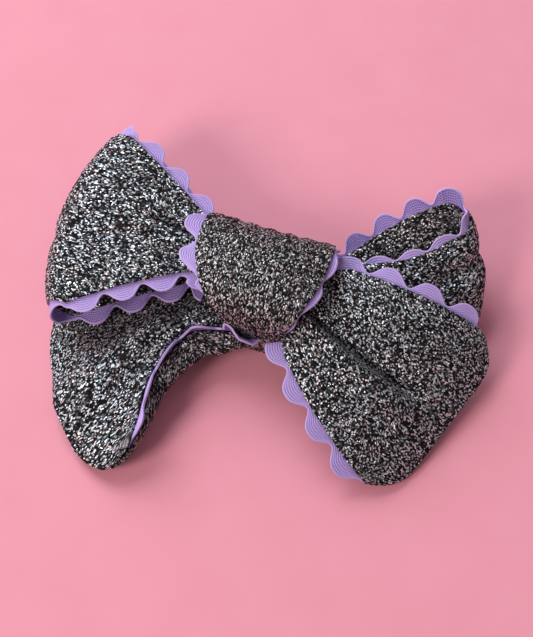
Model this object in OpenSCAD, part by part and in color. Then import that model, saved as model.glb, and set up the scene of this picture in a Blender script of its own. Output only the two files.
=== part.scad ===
// A tied hair bow of two-layer glitter knit with wavy braid sewn into every long seam.
// Two loops and two tails meet in a lashed waist and a soft wrap makes the knot round it.
// The wrap also holds the prong of a sprung hair clip against the back of the bow.
// The bow lies on its back: +X runs to the right, +Y up the bow, +Z away from the table.

/* [Knit] */
// Thickness of one layer of knit
knit_t = 0.8; // [0.6:0.1:1.1]
// Clearance on each face of the braid inside a seam
seam_gap = 0.2; // [0.15:0.05:0.3]
// Height of the gathers at the waist
pleat_h = 0.8; // [0.4:0.1:0.9]
// Number of gathers across a strip
pleats = 3; // [2:1:4]
// Width of each strip where it is gathered
gather_w = 17; // [15:0.5:18]
// Air between two strips stacked in the waist
waist_air = 2; // [1.9:0.1:2.4]

/* [Braid] */
// Thickness of the wavy braid
braid_t = 0.7; // [0.5:0.1:1]
// Length of one wave
braid_wave = 12; // [10:0.5:16]
// Height of the wave from its middle line
braid_sway = 1.8; // [1:0.1:2.2]
// Mean distance that the braid shows beyond its seam
braid_show = 2.8; // [2.4:0.1:3.4]
// Width of braid caught inside the seam
braid_seam = 1.2; // [1:0.1:1.6]

/* [Left loop] */
// Reach from the waist to the corners of the fold
left_loop_reach = 58.5; // [53:0.5:66]
// Width at the fold
left_loop_w = 63; // [57:0.5:68]
// Turn towards the top of the bow
left_loop_turn = 2; // [1:0.5:5]
// Radius of the fold
left_loop_fold = 6; // [4.5:0.25:7]
// Height of the middle of the fold above the table
left_loop_z = 15; // [14.5:0.25:17]
// How far the middle of the fold bellies out past its corners
left_loop_belly = 7.5; // [3:0.5:11]

/* [Right loop] */
// Reach from the waist to the corners of the fold
right_loop_reach = 58; // [52:0.5:66]
// Width at the fold
right_loop_w = 32; // [28:0.5:35]
// Turn towards the top of the bow
right_loop_turn = 31; // [28:0.5:33]
// Radius of the fold
right_loop_fold = 5.75; // [5.75:0.25:7]
// Height of the middle of the fold above the table
right_loop_z = 10.5; // [10.2:0.1:12]
// How far the loop is rolled up on edge at the fold
right_loop_roll = 40; // [34:1:44]
// How far the middle of the fold bellies out past its corners
right_loop_belly = 4; // [0:0.5:8]

/* [Left tail] */
// Length from the waist to the end
left_tail_len = 62.5; // [53:0.5:68]
// Width at the end
left_tail_w = 56; // [49:0.5:58]
// Turn towards the bottom of the bow
left_tail_turn = 51; // [46:0.5:55]
// How far the back panel bulges out past the lower seam
left_tail_puff = 8; // [5:0.5:9]
// How far the lower seam curls up towards the front
left_tail_curl = 70; // [40:1:85]

/* [Right tail] */
// Length from the waist to the end
right_tail_len = 62; // [54:0.5:70]
// Width at the end
right_tail_w = 56; // [46:0.5:58]
// Turn towards the bottom of the bow
right_tail_turn = 20.5; // [15:0.5:25]
// Fullness between the two panels
right_tail_puff = 1; // [0.4:0.1:1.6]

/* [Knot] */
// Width of the wrap where it is widest
knot_w = 37.5; // [33:0.5:42]
// Width of the wrap where it is pinched
knot_pinch_w = 8; // [7:0.5:11]
// Height of the wrap along the bow
knot_h = 30.5; // [30:0.5:37]
// Puff of the wrap above the lashed waist
knot_puff = 7.6; // [7.3:0.1:8.5]

/* [Thread] */
// Diameter of the lashing thread
thread_d = 0.8; // [0.5:0.1:1]
// Turns of the lashing
thread_turns = 6; // [4:1:7]
// Number of stitches that close the wrap
stitch_count = 6; // [3:1:7]

/* [Clip] */
// Width of the clip
clip_w = 8; // [7:0.25:9]
// Thickness of the clip's sheet metal
clip_t = 0.8; // [0.6:0.05:1]
// Length of the jaws ahead of the pin
jaw_len = 33; // [30:0.5:37]
// Length of the lever behind the pin
lever_len = 12; // [10:0.5:13]
// Diameter of the pin
pin_d = 1.5; // [1.2:0.1:1.8]
// Height of the pin above the underside
pin_z = 3; // [2.8:0.1:3.4]
// Diameter of the spring wire
spring_d = 0.6; // [0.4:0.05:0.65]

/* [Hidden] */
// Running clearance of the pin, and clearances beside metal, cloth and lashing
fit = 0.05;
side_fit = 0.15;
soft_fit = 0.1;
lash_fit = 0.5;
stack_fit = 0.2;

// Ears that carry the pin
ear_t = 0.7;
ear_r = 2;

// Thickness of a strip and half the space its seam leaves for the braid
seam_half = braid_t / 2 + seam_gap;
strip_t = 2 * (knit_t + seam_half);

// Heights in the waist, counted up from the clip
prong_z = pin_z + ear_r + stack_fit;
prong_top = prong_z + clip_t;
level_step = strip_t + waist_air;
level_low = prong_top + soft_fit + thread_d + lash_fit + pleat_h + strip_t / 2;
level_mid = level_low + level_step;
level_top = level_mid + level_step;
waist_gap = 0.4;

// Course of the wrap: where it is widest and narrowest, its heights, its crown and its join
knot_x = -3.5;
pinch_x = 1;
knot_y = 0.4;
wrap_wide_at = 40;
wrap_pinch_at = 200;
wrap_low = prong_z - soft_fit - strip_t / 2;
wrap_high = level_top + strip_t / 2 + pleat_h + thread_d + knot_puff;
wrap_mid = (wrap_low + wrap_high) / 2;
wrap_crown = 1.7;
wrap_square_front = 3;
wrap_square_back = 4.5;
wrap_join = 300;
join_half = 0.8;
knot_right_show = 0.5;
left_edge = knot_w / 2 - knot_x;

// Values of a strip, in the order of its row.
// HAND is -1 to the left and 1 to the right; ROOT_Y is its height up the bow at the waist.
// It turns by TURN over the length BEND that starts at BEND_AT, and is REACH long.
// It fans from the width GATHER at FAN to WIDTH at its end, sooner where SPREAD is 1.
// Z_ and ROLL_ give its height and its twist at the root, at the end and added half way.
// CUP lifts both edges; BELLY and SKEW push the middle or one corner of the end outwards.
// GAP, FOLD and OPEN shape a loop: space at the root, radius of the fold, way it opens.
// CORNER rounds a tail's end; CURL turns its lower edge up; CREASE folds a valley in it.
// SHIFT moves the strip up the bow half way along; TUCK draws its lower seam in on the way.
// FLARE lets its upper half open out sooner; BOW lets the first run of a loop bow out before the fold.
HAND = 0;
ROOT_Y = 1;
TURN = 2;
BEND = 3;
REACH = 4;
FAN = 5;
GATHER = 6;
WIDTH = 7;
Z_ROOT = 8;
Z_END = 9;
Z_HUMP = 10;
ROLL_ROOT = 11;
ROLL_END = 12;
ROLL_HUMP = 13;
CUP = 14;
BELLY = 15;
GAP = 16;
FOLD = 17;
OPEN = 18;
CORNER = 19;
SPREAD = 20;
CURL = 21;
CREASE = 22;
SHIFT = 23;
TUCK = 24;
SKEW = 25;
BEND_AT = 26;
FLARE = 27;
BOW = 28;

LEFT_LOOP = [
  -1, 3.2, left_loop_turn, 14, left_loop_reach, left_edge, gather_w, left_loop_w,
  (level_top + level_mid) / 2, left_loop_z, 0.8, 0, 6, -1.8, 0, left_loop_belly,
  level_step, left_loop_fold, 100, 0, 0, 0, 0, 1.5, 0, -1.6, 2, 0, 0
];
RIGHT_LOOP = [
  1, 2.2, right_loop_turn, 14, right_loop_reach, 12, gather_w, right_loop_w,
  (level_mid + level_low) / 2, right_loop_z, -2, 0, right_loop_roll, -right_loop_roll / 4, 2,
  right_loop_belly, level_step, right_loop_fold, 185, 0, 1, 0, 0, 0, 0, -4, 6, 0, 3.5
];
LEFT_TAIL = [
  -1, -1.5, -left_tail_turn, 16, left_tail_len, 6, gather_w, left_tail_w,
  level_low, 1.9, 3, 0, -2, -8, 0, 4.2, 0, 0, 90, 6, 1, left_tail_curl, 0, 2, 0.76, 6, 0, 0, 0
];
RIGHT_TAIL = [
  1, 0.2, -right_tail_turn, 12, right_tail_len, 9.5, gather_w, right_tail_w,
  level_top, 3.1, 6, 0, 8, 4, 0, 0, 0, 0, 90, 8, 1, 0, 1.6, -2.6, 0, 0, 0, 8, 0
];

function clamp01(t) = max(0, min(1, t));
function ease(t) = let (c = clamp01(t)) c * c * (3 - 2 * c);
function unit(v) = v / norm(v);

// Plan course of a strip: a bend out of the waist, then straight on
function heading(S, d) = S[TURN] * clamp01((d - S[BEND_AT]) / S[BEND]);
function course(S, d) =
  let (
    r = S[BEND] * 180 / (PI * S[TURN]),
    a = heading(S, d),
    before = min(d, S[BEND_AT]),
    past = max(0, d - S[BEND_AT] - S[BEND])
  )
  [before + r * sin(a) + past * cos(S[TURN]), r * (1 - cos(a)) + past * sin(S[TURN])];

// Fan, height and roll along the strip
function fan(S, d) = clamp01((d - S[FAN]) / (S[REACH] - S[FAN]));
function half_w(S, d) =
  let (f = fan(S, d), g = f + (sin(90 * f) - f) * S[SPREAD])
  (S[GATHER] + (S[WIDTH] - S[GATHER]) * g) / 2;
function swing(a, b, hump, e) = a + (b - a) * e + 4 * hump * e * (1 - e);

// Share of the lower half width that is drawn in, most of it nearer the waist than the end
tuck_early = 0.7;
tuck_ease = 1.5;
tuck_from = 0.13;
tuck_rise = 0.18;
function tuck(S, e) =
  S[TUCK] * pow(swing(0, 0, 1, pow(e, tuck_early)), tuck_ease) * ease((e - tuck_from) / tuck_rise);

// Width that the upper half gains early on
flare_from = 0.12;
flare_rise = 0.16;
function flare(S, e) = S[FLARE] * ease((e - flare_from) / flare_rise) * pow(1 - e, 2);

// Cross-section of a strip: flat, or with its lower edge curled up by a part of a circle
curl_from = 0.7;
function section(w, s, curl) =
  let (t = (-s - curl_from) / (1 - curl_from), r = w * (1 - curl_from) * 180 / (PI * max(1, curl)))
  curl < 1 || t <= 0 ? [s * w, 0] : [-curl_from * w - r * sin(curl * t), r * (1 - cos(curl * t))];

// Point of a strip at distance d and place s from edge to edge, moved along and lifted open
function strip_point(S, d, s, along = 0, lift = 0) =
  let (
    e = clamp01(d / S[REACH]),
    h = heading(S, d),
    c = course(S, d),
    w = half_w(S, d),
    q = swing(S[ROLL_ROOT], S[ROLL_END], S[ROLL_HUMP], e),
    o = 90 + (S[OPEN] - 90) * pow(sin(90 * e), 1.5),
    v = section(s < 0 ? w * (1 - tuck(S, e)) : w + flare(S, e), s, swing(0, S[CURL] / 3, S[CURL] * 0.8, e)),
    fwd = along + (S[BELLY] * (1 - s * s) - S[SKEW] * s) * e * e * e,
    side = v[0] * cos(q) - v[1] * sin(q) + lift * cos(o) + swing(0, 0, S[SHIFT], e),
    rise = v[0] * sin(q) + v[1] * cos(q) + S[CUP] * e * s * s + lift * sin(o),
    up = swing(S[Z_ROOT], S[Z_END], S[Z_HUMP], e) + rise
  )
  [
    S[HAND] * (waist_gap / 2 + c[0] + fwd * cos(h) - side * sin(h)),
    S[ROOT_Y] + c[1] + fwd * sin(h) + side * cos(h),
    up
  ];

// A loop runs out, turns half round at the fold and runs back below
function run_len(S) = S[REACH] - S[FOLD];
function fold_len(S) = PI * S[FOLD];
function loft(S, d) = S[GAP] / 2 + (S[FOLD] - S[GAP] / 2) * ease(d / run_len(S));
bow_unit = 13.1;
bow_ease = 1.25;
function bow_out(S, d) =
  let (x = clamp01(d / run_len(S)))
  S[BOW] * bow_unit * pow(x, 3) * pow(1 - x, bow_ease);
function loop_point(S, u, s) =
  let (run = run_len(S), arc = fold_len(S), l = u * (2 * run + arc), k = 180 * (l - run) / arc)
  l <= run ? strip_point(S, l, s, 0, loft(S, l) + bow_out(S, l))
  : l <= run + arc ? strip_point(S, run, s, S[FOLD] * sin(k), S[FOLD] * cos(k))
  : strip_point(S, 2 * run + arc - l, s, 0, -loft(S, 2 * run + arc - l));

// A tail runs out to an end with rounded corners
function tail_point(S, u, s) = strip_point(S, u * S[REACH] - S[CORNER] * pow(u, 6) * pow(abs(s), 6), s);

function is_loop(S) = S[FOLD] > 0;
function course_point(S, u, s) = is_loop(S) ? loop_point(S, u, s) : tail_point(S, u, s);
function face_normal(S, u, s) =
  let (
    a = course_point(S, u + 0.003, s) - course_point(S, u - 0.003, s),
    b = course_point(S, u, s + 0.01) - course_point(S, u, s - 0.01)
  )
  S[HAND] * unit(cross(a, b));

// Distance from the waist, and the gathers and the valley that fade out along the fan
crease_turn = 300;
crease_at = 30;
function depth(S, u) =
  let (run = run_len(S), arc = fold_len(S), l = u * (2 * run + arc))
  !is_loop(S) ? u * S[REACH] : l <= run ? l : l <= run + arc ? run : 2 * run + arc - l;
function gather(S, u, s) =
  let (
    f = 1 - fan(S, depth(S, u)),
    below = is_loop(S) && u > 0.5 ? -1 : 1,
    pleat = below * pleat_h * f * f * cos(180 * pleats * s),
    valley = 4 * S[CREASE] * (1 - f) * f * cos(crease_turn * s - crease_at)
  )
  pow(1 - s * s, 2) * (pleat - valley);

// Point of a layer that lies off the middle of the strip
function layer_point(S, u, s, off) =
  course_point(S, u, s) + face_normal(S, u, s) * (off + gather(S, u, s));

// Stations along a loop, closer together round the fold
function loop_stations(S, runs, bends) =
  let (run = run_len(S), arc = fold_len(S), all = 2 * run + arc)
  [
    for (i = [0:runs - 1]) run * i / runs / all,
    for (i = [0:bends]) (run + arc * i / bends) / all,
    for (i = [1:runs]) (run + arc + run * i / runs) / all
  ];
function even(n) = [for (i = [0:n]) i / n];
function across(n) = [for (i = [0:n]) 2 * i / n - 1];

// Closed sheet between two grids of points; turned tells which way its rows run
module sheet(top, bottom, turned) {
  n = len(top);
  m = len(top[0]);
  points = concat([for (row = top) each row], [for (row = bottom) each row]);
  below = n * m;
  upper = [
    for (i = [0:n - 2], j = [0:m - 2])
      let (a = i * m + j, b = a + 1, c = a + m + 1, d = a + m)
      each [[a, b, c], [a, c, d]]
  ];
  lower = [for (f = upper) [f[2] + below, f[1] + below, f[0] + below]];
  rim = concat(
    [for (j = [0:m - 2]) [j, j + 1]],
    [for (i = [0:n - 2]) [i * m + m - 1, (i + 1) * m + m - 1]],
    [for (j = [m - 1:-1:1]) [(n - 1) * m + j, (n - 1) * m + j - 1]],
    [for (i = [n - 1:-1:1]) [i * m, (i - 1) * m]]
  );
  walls = [
    for (e = rim)
      each [[e[1], e[0], e[0] + below], [e[1], e[0] + below, e[1] + below]]
  ];
  faces = concat(upper, lower, walls);
  polyhedron(points, turned ? [for (f = faces) [f[2], f[1], f[0]]] : faces, convexity = 10);
}

// Panels of a loop: the outer one carries the fullness, the lining lies flat inside
loop_full = 0.7;
function fullness(S, u, s) = fan(S, depth(S, u)) * (1 - pow(s, 4));
module loop_panel(S, outer) {
  us = loop_stations(S, 10, 12);
  ss = across(10);
  function near(u, s) = outer ? seam_half + loop_full * fullness(S, u, s) : -seam_half - knit_t;
  sheet(
    [for (u = us) [for (s = ss) layer_point(S, u, s, near(u, s) + knit_t)]],
    [for (u = us) [for (s = ss) layer_point(S, u, s, near(u, s))]],
    S[HAND] < 0
  );
}

// Panels of a tail close together at the end
end_gap = 0.2;
function tail_half(u) = seam_half + (end_gap / 2 - seam_half) * ease((u - 0.94) / 0.06);
tail_swell = 20;
bulge_at = 6;
bulge_len = 16;
bulge_fade = 2.2;
function tail_full(S, u, s, lean) =
  ease(depth(S, u) / tail_swell) * (1 - pow(u, 6)) * (1 - pow(s, 4)) * pow((1 - s) / 2, lean);
function bulge_dir(S, u) = let (h = heading(S, depth(S, u))) [S[HAND] * sin(h), -cos(h), 0];
function bulge(S, u, s) =
  let (along = ease((depth(S, u) - bulge_at) / bulge_len) * (1 - pow(u, bulge_fade)))
  s > 0 ? 0 : along * sin(180 * sqrt(1 + s));
// A panel swells by puff, more to its lower seam where lean is higher, and may bulge out past that seam
module tail_panel(S, side, puff, lean = 0, out = 0) {
  us = even(18);
  ss = out > 0 ? [for (i = [0:12]) 2 * pow(i / 12, 1.6) - 1] : across(12);
  function at(u, s, t) =
    layer_point(S, u, s, side * (tail_half(u) + puff * tail_full(S, u, s, lean) + t))
    + out * bulge(S, u, s) * bulge_dir(S, u);
  sheet(
    [for (u = us) [for (s = ss) at(u, s, side > 0 ? knit_t : 0)]],
    [for (u = us) [for (s = ss) at(u, s, side > 0 ? 0 : knit_t)]],
    S[HAND] < 0
  );
}

// Wavy braid swept along rails of outer, inner and facing directions.
// It starts at phase, a way into its wave, and slip is braid taken up round the fold of a loop.
// Its first half, up to the fold of a loop, shows less by the share slim.
slip_from = 0.35;
slip_over = 0.3;
slim_to = 0.4;
slim_ease = 0.15;
module braid(path, out, inner, facing, turned, phase, wave, slip = 0, slim = 0) {
  n = len(path);
  run = [for (i = 0, l = 0; i < n; l = l + (i < n - 1 ? norm(path[i + 1] - path[i]) : 0), i = i + 1) l];
  function way(i) = run[i] + phase + slip * ease((i / (n - 1) - slip_from) / slip_over);
  function part(i) = 1 - slim * (1 - ease((i / (n - 1) - slim_to) / slim_ease));
  function reach(i) = part(i) * (braid_show + braid_sway * sin(360 * way(i) / wave));
  function lift(i) = facing[i] * braid_t / 2;
  sheet(
    [for (i = [0:n - 1]) [inner[i] + lift(i), path[i] + out[i] * reach(i) + lift(i)]],
    [for (i = [0:n - 1]) [inner[i] - lift(i), path[i] + out[i] * reach(i) - lift(i)]],
    turned
  );
}
braid_rings = 7;
module strip_braid(S, edge, start, phase = 0, wave = braid_wave, slip = 0, slim = 0) {
  length = is_loop(S) ? 2 * run_len(S) + fold_len(S) : S[REACH];
  from = start / length;
  to = is_loop(S) ? 1 - from : 0.9;
  n = ceil(1.15 * (to - from) * length * braid_rings / wave);
  us = [for (i = [0:n]) from + (to - from) * i / n];
  rail = [for (u = us) layer_point(S, u, edge, 0)];
  nrm = [for (u = us) face_normal(S, u, edge)];
  tan = [for (u = us) course_point(S, u + 0.003, edge) - course_point(S, u - 0.003, edge)];
  out = [for (i = [0:n]) S[HAND] * edge * unit(cross(nrm[i], tan[i]))];
  inner = [for (u = us) layer_point(S, u, edge * (1 - braid_seam / half_w(S, depth(S, u))), 0)];
  braid(rail, out, inner, nrm, S[HAND] * edge < 0, phase, wave, slip, slim);
}

// Course of the wrap round the waist, seen from its edge: 0 is the top turn, 90 the front
function wrap_bell(a) =
  let (
    p = (a - wrap_wide_at + 720) % 360,
    front = wrap_pinch_at - wrap_wide_at
  )
  p < front ? 1 - ease(pow(p / front, 2)) : 1 - ease(pow((360 - p) / (360 - front), 0.7));
function wrap_half(a) = (knot_pinch_w + (knot_w - knot_pinch_w) * wrap_bell(a)) / 2;
function wrap_centre(a) = pinch_x + (knot_x - pinch_x) * wrap_bell(a);
function wrap_round(a) =
  let (
    n = sin(a) > 0 ? wrap_square_front : wrap_square_back,
    y = abs(cos(a)) / (knot_h / 2),
    z = abs(sin(a)) / (wrap_mid - wrap_low)
  )
  pow(pow(y, n) + pow(z, n), -1 / n);
function wrap_point(a, s) =
  let (r = wrap_round(a) - wrap_crown * wrap_bell(a) * max(0, sin(a)) * s * s)
  [wrap_centre(a) + s * wrap_half(a), knot_y + r * cos(a), wrap_mid + r * sin(a)];
function wrap_normal(a, s) =
  unit(cross(wrap_point(a + 1, s) - wrap_point(a - 1, s), wrap_point(a, s + 0.01) - wrap_point(a, s - 0.01)));
function wrap_layer(a, s, off) = wrap_point(a, s) + wrap_normal(a, s) * off;
wrap_from = wrap_join + join_half;
wrap_to = wrap_join + 360 - join_half;
function wrap_angles(n) = [for (i = [0:n]) wrap_from + (wrap_to - wrap_from) * i / n];

module wrap_panel(outer) {
  as = wrap_angles(48);
  ss = across(6);
  near = outer ? seam_half : -seam_half - knit_t;
  sheet(
    [for (a = as) [for (s = ss) wrap_layer(a, s, near + knit_t)]],
    [for (a = as) [for (s = ss) wrap_layer(a, s, near)]],
    false
  );
}
module wrap_braid(edge, phase) {
  as = wrap_angles(80);
  rail = [for (a = as) wrap_layer(a, edge, 0)];
  nrm = [for (a = as) wrap_normal(a, edge)];
  inner = [for (a = as) wrap_layer(a, edge * (1 - braid_seam / wrap_half(a)), 0)];
  show = edge < 0 ? 1 : knot_right_show;
  function part(a) = show * wrap_bell(a) * ease((sin(a) + 0.05) / 0.5);
  out = [for (i = [0:len(as) - 1]) part(as[i]) * unit(rail[i] - inner[i])];
  braid(rail, out, inner, nrm, edge < 0, phase, braid_wave);
}

// Round tube along a path; its section is set out square to the axis given
module tube(path, r, sides, axis) {
  n = len(path);
  function along(i) = unit(path[min(n - 1, i + 1)] - path[max(0, i - 1)]);
  function ring(i) =
    let (t = along(i), a = unit(cross(t, axis)), b = cross(t, a))
    [for (k = [0:sides - 1]) path[i] + r * (cos(360 * k / sides) * a + sin(360 * k / sides) * b)];
  points = [for (i = [0:n - 1]) each ring(i)];
  skin = [
    for (i = [0:n - 2], k = [0:sides - 1])
      let (a = i * sides + k, b = i * sides + (k + 1) % sides)
      each [[a, b + sides, b], [a, a + sides, b + sides]]
  ];
  first = [for (k = [1:sides - 2]) [0, k, k + 1]];
  base = (n - 1) * sides;
  last = [for (k = [1:sides - 2]) [base, base + k + 1, base + k]];
  polyhedron(points, concat(skin, first, last), convexity = 10);
}

// Lashing thread: a rounded box of turns that step along the waist
lash_y = 11.9;
lash_z = (level_top - level_low + strip_t) / 2 + pleat_h + lash_fit;
lash_mid = [0.6, level_mid];
lash_steps = 24;
lash_pitch = 1.35;
function lash_round(a) = pow(pow(abs(cos(a)) / lash_y, 16) + pow(abs(sin(a)) / lash_z, 16), -1 / 16);
function lash_point(i) =
  let (
    a = 360 * i / lash_steps,
    r = lash_round(a) + thread_d / 2,
    x = lash_pitch * (i / lash_steps - thread_turns / 2)
  )
  [x, lash_mid[0] + r * cos(a), lash_mid[1] + r * sin(a)];
lash_path = [for (i = [0:thread_turns * lash_steps]) lash_point(i)];

// Spring: two legs and three and a half curls round the pin
spring_fit = 0.25;
spring_air = 0.45;
spring_r = pin_d / 2 + spring_fit + spring_d / 2;
spring_turns = 3.5;
spring_pitch = spring_d + spring_air;
spring_steps = 8;
spring_leg = 7;
hinge_x = -14;
lever_rise = 3;
spring_count = spring_turns * spring_steps;
function spring_point(i) =
  let (a = 360 * i / spring_steps - 90, y = spring_pitch * (i / spring_steps - spring_turns / 2))
  [hinge_x + spring_r * cos(a), y, pin_z + spring_r * sin(a)];
spring_low = [hinge_x - spring_leg, spring_point(0)[1], clip_t + fit + spring_d / 2];
spring_high = [
  hinge_x - spring_leg,
  spring_point(spring_count)[1],
  prong_z + spring_leg * tan(lever_rise) - fit - spring_d / 2
];
spring_path = concat(
  [spring_low],
  [spring_point(0) - [spring_d * 2, 0, 0]],
  [for (i = [0:spring_count]) spring_point(i)],
  [spring_point(spring_count) - [spring_d * 2, 0, 0]],
  [spring_high]
);

// Least space that a winding leaves to itself, over points at least half a turn apart
function least_gap(path, skip, d) =
  min([
    for (i = [0:len(path) - 1 - skip], j = [i + skip:min(len(path) - 1, i + 3 * skip)])
      norm(path[i] - path[j]) - d
  ]);
echo(lashing_gap = least_gap(lash_path, lash_steps / 2, thread_d));
echo(spring_gap = least_gap([for (i = [0:spring_count]) spring_point(i)], spring_steps / 2, spring_d));

// Clip outlines: shoulders beside the ears, then a taper to the toothed tip
tip_w = 5.6;
tooth = 1.2;
tooth_root = 0.2;
tooth_count = 4;
prong_w = tip_w - 2 * ear_t - 2 * side_fit;
prong_tip_w = 2;
jaw_slope = 10.4;
jaw_nose = 1;
nose_t = 0.9;
slope_step = 0.6;
shoulder = 4;
notch_from = 3.4;
notch_to = 2.4;
notch_end = 3;
taper_end = 8;
ear_out = clip_w / 2 - ear_t - side_fit;
base_from = hinge_x - lever_len;
base_to = hinge_x + jaw_len;
lever_x = base_from + clip_w / 2;
tip_x = base_to - tip_w / 2;
module base_outline() {
  translate([lever_x, 0]) circle(d = clip_w, $fn = 48);
  translate([lever_x, -clip_w / 2]) square([hinge_x + shoulder - lever_x, clip_w]);
  polygon([
    [hinge_x + shoulder, -clip_w / 2],
    [tip_x, -tip_w / 2],
    [tip_x, tip_w / 2],
    [hinge_x + shoulder, clip_w / 2]
  ]);
  translate([tip_x, 0]) circle(d = tip_w, $fn = 48);
}
module prong_outline() {
  translate([lever_x, 0]) circle(d = clip_w, $fn = 48);
  for (side = [-1, 1])
    scale([1, side])
      polygon([
        [lever_x, 0],
        [lever_x, clip_w / 2],
        [hinge_x - notch_from, clip_w / 2],
        [hinge_x - notch_to, ear_out],
        [hinge_x + notch_end, ear_out],
        [hinge_x + taper_end, prong_w / 2],
        [base_to - 3 * jaw_nose, prong_w / 2],
        [base_to - jaw_nose, prong_tip_w / 2],
        [base_to - jaw_nose, 0]
      ]);
}
module ear(y) {
  translate([hinge_x, y + ear_t / 2, pin_z])
    rotate([90, 0, 0])
      cylinder(r = ear_r, h = ear_t, $fn = 48);
}
module pin_hole() {
  translate([hinge_x, clip_w, pin_z])
    rotate([90, 0, 0])
      cylinder(d = pin_d + 2 * fit, h = 2 * clip_w, $fn = 48);
}

// A strip's braid starts at a distance from the waist and a way into its wave.
// It is eased closer where it turns round the folds of the loops.
left_loop_wave = 0.94 * braid_wave;
right_loop_wave = 0.82 * braid_wave;

knit_colour = [0.22, 0.22, 0.24];
lining_colour = [0.16, 0.16, 0.18];
braid_colour = [0.45, 0.36, 0.62];
thread_colour = [0.12, 0.12, 0.13];
steel_colour = [0.75, 0.76, 0.78];

module left_loop_outer() {
  color(knit_colour) loop_panel(LEFT_LOOP, true);
}
module left_loop_lining() {
  color(lining_colour) loop_panel(LEFT_LOOP, false);
}
module left_loop_upper_braid() {
  color(braid_colour) strip_braid(LEFT_LOOP, 1, left_edge + 2, 10.5, left_loop_wave);
}
module left_loop_lower_braid() {
  color(braid_colour) strip_braid(LEFT_LOOP, -1, left_edge - 5, 0.9, left_loop_wave, -8);
}
module right_loop_outer() {
  color(knit_colour) loop_panel(RIGHT_LOOP, true);
}
module right_loop_lining() {
  color(lining_colour) loop_panel(RIGHT_LOOP, false);
}
module right_loop_upper_braid() {
  color(braid_colour) strip_braid(RIGHT_LOOP, 1, 19, 8.7, right_loop_wave, 0, 0.5);
}
module right_loop_lower_braid() {
  color(braid_colour) strip_braid(RIGHT_LOOP, -1, 14, 0.6, right_loop_wave, 0, 0.4);
}
module left_tail_front() {
  color(knit_colour) tail_panel(LEFT_TAIL, 1, 3, 2);
}
module left_tail_back() {
  color(lining_colour) tail_panel(LEFT_TAIL, -1, 3, 2, left_tail_puff);
}
module left_tail_upper_braid() {
  color(braid_colour) strip_braid(LEFT_TAIL, 1, 14);
}
module left_tail_lower_braid() {
  color(braid_colour) strip_braid(LEFT_TAIL, -1, 10);
}
module right_tail_front() {
  color(knit_colour) tail_panel(RIGHT_TAIL, 1, right_tail_puff);
}
module right_tail_back() {
  color(lining_colour) tail_panel(RIGHT_TAIL, -1, 0.4);
}
module right_tail_upper_braid() {
  color(braid_colour) strip_braid(RIGHT_TAIL, 1, 12, 10.4);
}
module right_tail_lower_braid() {
  color(braid_colour) strip_braid(RIGHT_TAIL, -1, 14.4, 1.7);
}
module knot_wrap_face() {
  color(knit_colour) wrap_panel(true);
}
module knot_wrap_lining() {
  color(lining_colour) wrap_panel(false);
}
module knot_left_braid() {
  color(braid_colour) wrap_braid(-1, 4.6);
}
module knot_right_braid() {
  color(braid_colour) wrap_braid(1, 4.3);
}
module gathering_thread() {
  color(thread_colour) tube(lash_path, thread_d / 2, 6, [1, 0, 0]);
}
stitch_d = 0.6;
stitch_len = 3;
stitch_in = 2;
module knot_stitches() {
  y = wrap_point(wrap_join, 0)[1];
  z = wrap_low - strip_t / 2 - soft_fit - stitch_d / 2;
  step = (2 * wrap_half(wrap_join) - 2 * stitch_in) / (stitch_count - 1);
  color(thread_colour)
    for (i = [0:stitch_count - 1])
      translate([wrap_centre(wrap_join) - wrap_half(wrap_join) + stitch_in + step * i, y + stitch_len / 2, z])
        rotate([90, 0, 0])
          cylinder(d = stitch_d, h = stitch_len, $fn = 16);
}
module clip_prong() {
  color(steel_colour)
    difference() {
      union() {
        intersection() {
          translate([0, clip_w, 0])
            rotate([90, 0, 0])
              linear_extrude(2 * clip_w)
                polygon([
                  [base_from, prong_z + lever_len * tan(lever_rise)],
                  [hinge_x, prong_z],
                  [base_to - jaw_slope, prong_z],
                  [base_to - jaw_nose, clip_t + fit],
                  [base_to, clip_t + fit],
                  [base_to, clip_t + fit + nose_t],
                  [base_to - jaw_slope - slope_step, prong_top],
                  [hinge_x, prong_top],
                  [base_from, prong_top + lever_len * tan(lever_rise)]
                ]);
          linear_extrude(4 * pin_z) prong_outline();
        }
        for (side = [-1, 1]) {
          ear(side * (ear_out - ear_t / 2));
          translate([hinge_x - ear_r, side * (ear_out - ear_t / 2) - ear_t / 2, pin_z])
            cube([2 * ear_r, ear_t, prong_z - pin_z + clip_t / 2]);
        }
      }
      pin_hole();
    }
}
module clip_base() {
  color(steel_colour)
    difference() {
      union() {
        linear_extrude(clip_t) base_outline();
        for (side = [-1, 1]) {
          ear(side * (clip_w - ear_t) / 2);
          translate([hinge_x - ear_r, side * (clip_w - ear_t) / 2 - ear_t / 2, 0])
            cube([2 * ear_r, ear_t, pin_z]);
        }
        for (side = [-1, 1], i = [0:tooth_count - 1])
          translate([tip_x - tooth * (i + 1), side * (tip_w - ear_t) / 2 + ear_t / 2, clip_t])
            rotate([90, 0, 0])
              linear_extrude(ear_t)
                polygon([[0, -tooth_root], [tooth, -tooth_root], [tooth, 0], [tooth / 2, tooth], [0, 0]]);
      }
      pin_hole();
    }
}
pin_out = 0.3;
module clip_pin() {
  color(steel_colour)
    translate([hinge_x, clip_w / 2 + pin_out, pin_z])
      rotate([90, 0, 0])
        cylinder(d = pin_d, h = clip_w + 2 * pin_out, $fn = 48);
}
module clip_spring() {
  color(steel_colour) tube(spring_path, spring_d / 2, 6, [0, 1, 0]);
}

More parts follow.
